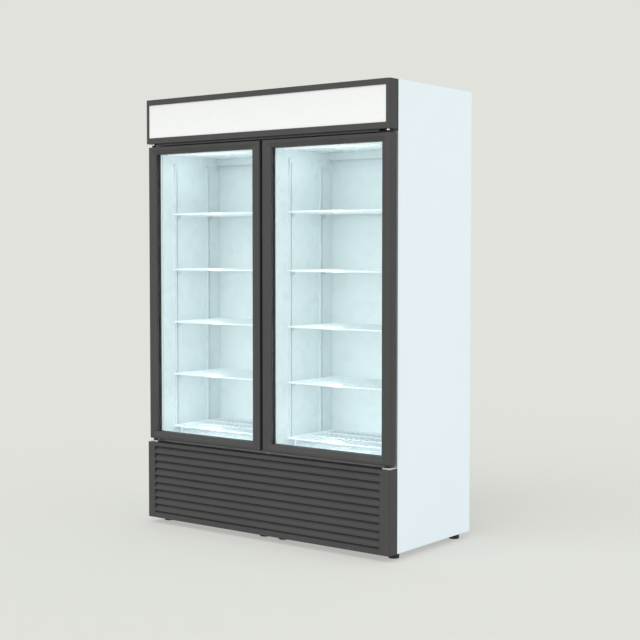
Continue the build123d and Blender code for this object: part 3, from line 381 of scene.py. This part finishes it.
# ---------------------------------------------------------- floor, light, camera
def lay_floor():
    """Wide pale floor that runs out past the view."""
    mesh = bpy.data.meshes.new("floor")
    corners = [(FLOOR_HALF * x, FLOOR_HALF * y, 0) for x, y in ((-1, -1), (1, -1), (1, 1), (-1, 1))]
    mesh.from_pydata(corners, [], [(0, 1, 2, 3)])
    floor = bpy.data.objects.new("floor", mesh)
    bpy.context.collection.objects.link(floor)
    suns = ((KEY_TOWARD, KEY_STRENGTH), (SIDE_TOWARD, SIDE_STRENGTH))
    sunlight = sum(strength * -Vector(toward).normalized().z / math.pi for toward, strength in suns)
    albedo = tuple((1 - FLOOR_GLOW) * tone / (tone + sunlight) for tone in BACKDROP)
    s = Shader("floor", albedo, 0.9)
    s.surface.inputs["Specular IOR Level"].default_value = 0.0
    s.surface.inputs["Emission Color"].default_value = (*BACKDROP, 1)
    s.surface.inputs["Emission Strength"].default_value = FLOOR_GLOW
    mesh.materials.append(s.material)


def light_world():
    """Even, pale surroundings."""
    world = bpy.data.worlds.new("surroundings")
    world.use_nodes = True
    world.node_tree.nodes["Background"].inputs["Color"].default_value = (*BACKDROP, 1)
    world.node_tree.nodes["Background"].inputs["Strength"].default_value = 1.0
    bpy.context.scene.world = world


def add_sun(name, toward, strength):
    """Distant soft light that travels along the direction toward."""
    data = bpy.data.lights.new(name, "SUN")
    data.energy = strength
    data.angle = math.radians(SUN_SPREAD)
    lamp = bpy.data.objects.new(name, data)
    lamp.rotation_euler = Vector(toward).to_track_quat("-Z", "Y").to_euler()
    bpy.context.collection.objects.link(lamp)


def add_panel(name, at, toward, width, height, power):
    """Rectangular light at a place, facing along toward."""
    data = bpy.data.lights.new(name, "AREA")
    data.shape = "RECTANGLE"
    data.size = width
    data.size_y = height
    data.energy = power
    data.color = LED_COLOUR
    lamp = bpy.data.objects.new(name, data)
    lamp.location = at
    lamp.rotation_euler = Vector(toward).to_track_quat("-Z", "Y").to_euler()
    lamp.visible_camera = False
    lamp.visible_glossy = False
    bpy.context.collection.objects.link(lamp)


def light_bays():
    """Soft light over the mouth of each bay, and on its walls, its ceiling and its floor."""
    strip_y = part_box("interior_led_strips")[1].y
    wall_low, wall_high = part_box("liner_panels")
    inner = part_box("centre_partition")[1].x
    middle_x = (wall_high.x + inner) / 2
    middle_z = (wall_low.z + wall_high.z) / 2
    width = wall_high.x - inner - LAMP_MARGIN
    height = wall_high.z - wall_low.z - LAMP_MARGIN
    lamp_width = width - LAMP_NARROWING
    for side in (-1, 1):
        x = side * middle_x
        add_panel("bay_light", (x, strip_y, middle_z), (0, 1, 0), width, height, BAY_POWER)
        for turn in (-1, 1):
            wall_from = (x, strip_y + WALL_LAMP_IN, middle_z)
            add_panel("wall_light", wall_from, (turn, 0.2, 0), LAMP_THICKNESS, height, WALL_POWER)
        up_from = (x, strip_y + CEILING_LAMP_IN, wall_high.z - CEILING_LAMP_DROP)
        add_panel("ceiling_light", up_from, (0, 0.25, 1), lamp_width, LAMP_THICKNESS, CEILING_POWER)
        down_from = (x, strip_y, wall_low.z + FLOOR_LAMP_RISE)
        add_panel("floor_light", down_from, (0, 0.25, -1), lamp_width, LAMP_THICKNESS, FLOOR_POWER)


def place_camera():
    """The camera of the front three-quarter view."""
    data = bpy.data.cameras.new("camera")
    data.lens = LENS
    data.sensor_width = 36.0
    data.shift_x, data.shift_y = SHIFT
    data.clip_end = 200.0
    camera = bpy.data.objects.new("camera", data)
    camera.location = CAMERA_AT
    camera.rotation_euler = (math.radians(CAMERA_TILT), 0.0, math.radians(CAMERA_TURN))
    bpy.context.collection.objects.link(camera)
    bpy.context.scene.camera = camera


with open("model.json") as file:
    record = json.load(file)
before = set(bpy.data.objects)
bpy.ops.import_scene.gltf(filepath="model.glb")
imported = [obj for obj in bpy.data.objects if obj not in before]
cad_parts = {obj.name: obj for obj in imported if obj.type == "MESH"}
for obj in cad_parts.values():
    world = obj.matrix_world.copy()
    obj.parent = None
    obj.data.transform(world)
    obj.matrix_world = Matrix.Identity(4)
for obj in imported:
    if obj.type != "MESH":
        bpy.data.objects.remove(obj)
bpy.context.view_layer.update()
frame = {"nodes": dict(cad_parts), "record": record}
finishes = dress_nodes(frame)
air_return_grille(finishes["white_liner"])
lay_floor()
light_world()
add_sun("key", KEY_TOWARD, KEY_STRENGTH)
add_sun("side", SIDE_TOWARD, SIDE_STRENGTH)
light_bays()
place_camera()
bpy.context.scene.view_settings.view_transform = "Standard"
